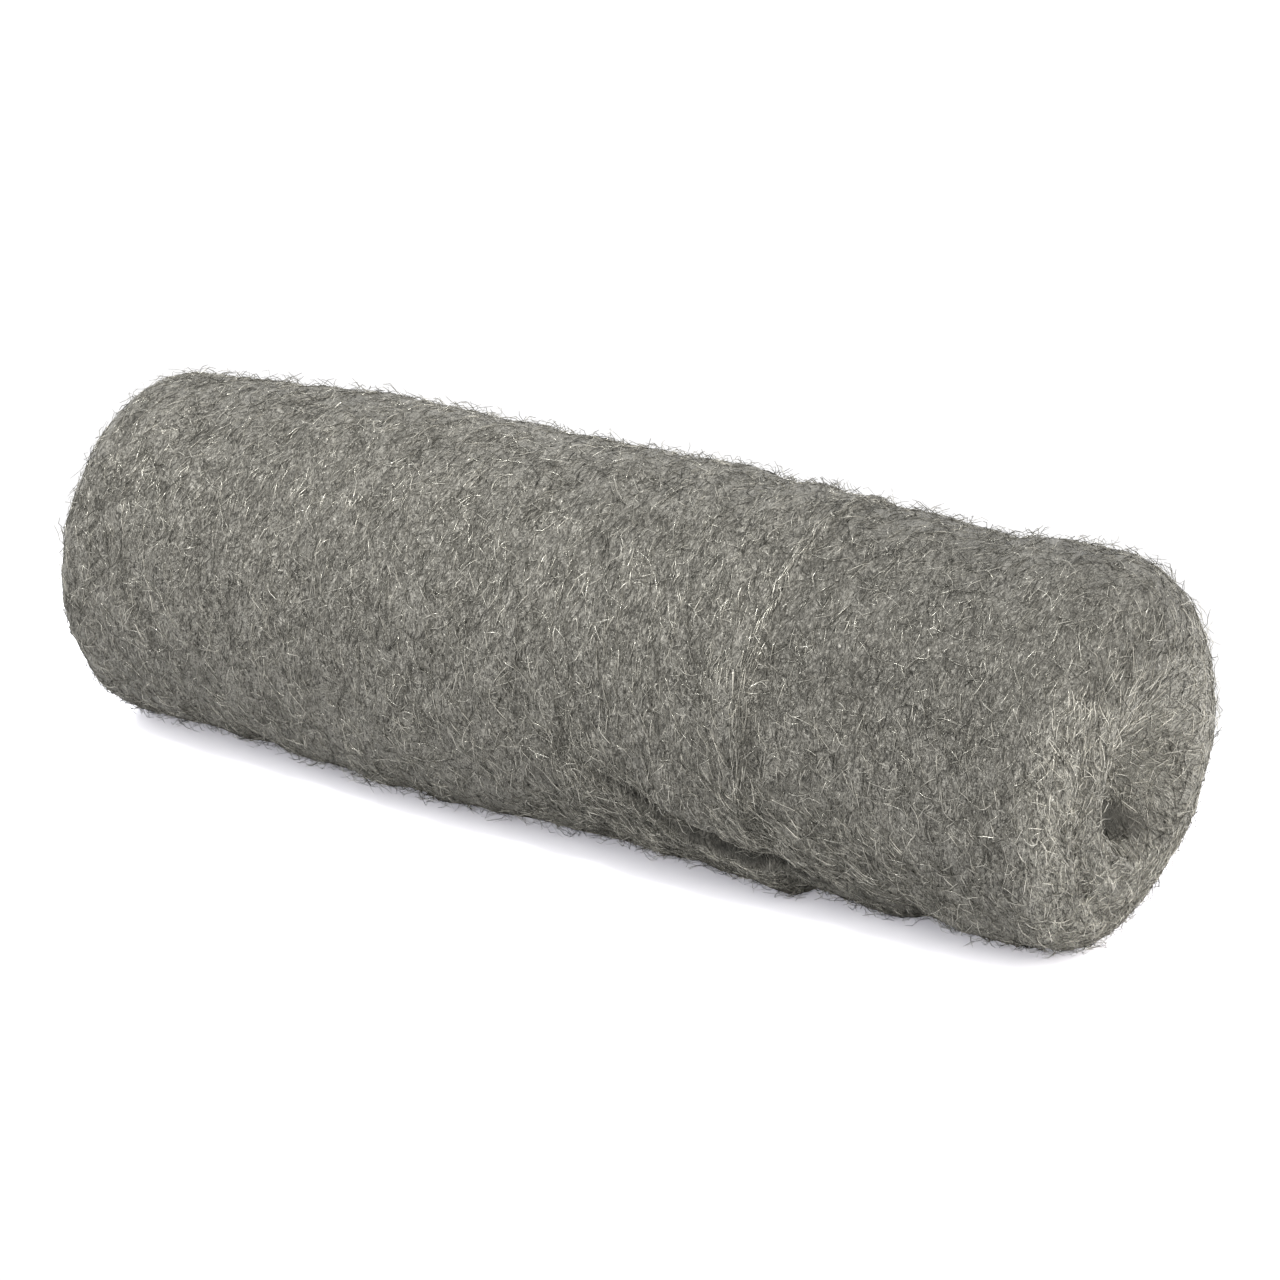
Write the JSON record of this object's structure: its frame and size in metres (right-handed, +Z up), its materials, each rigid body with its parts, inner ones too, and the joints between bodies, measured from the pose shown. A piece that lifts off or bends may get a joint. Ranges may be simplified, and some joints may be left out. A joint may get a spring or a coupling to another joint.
{
  "type": "steel wool roll",
  "caption": "Soft roll of fine steel wool lying on its side, with a hollow spiral end and a loose outer edge.",
  "frame": {"origin": "on the ground under the middle of the roll, as it lies on its pressed-flat underside", "axes": "+X along the roll towards its hollow end, +Y to the back, +Z up"},
  "size_m": [0.2426, 0.0818, 0.0779],
  "materials": {
    "steel_wool": "fine tangled steel fibres, softly shining along the way they are wound"
  },
  "bodies": {
    "root": {"wool_roll": "steel_wool"}
  },
  "joints": []
}
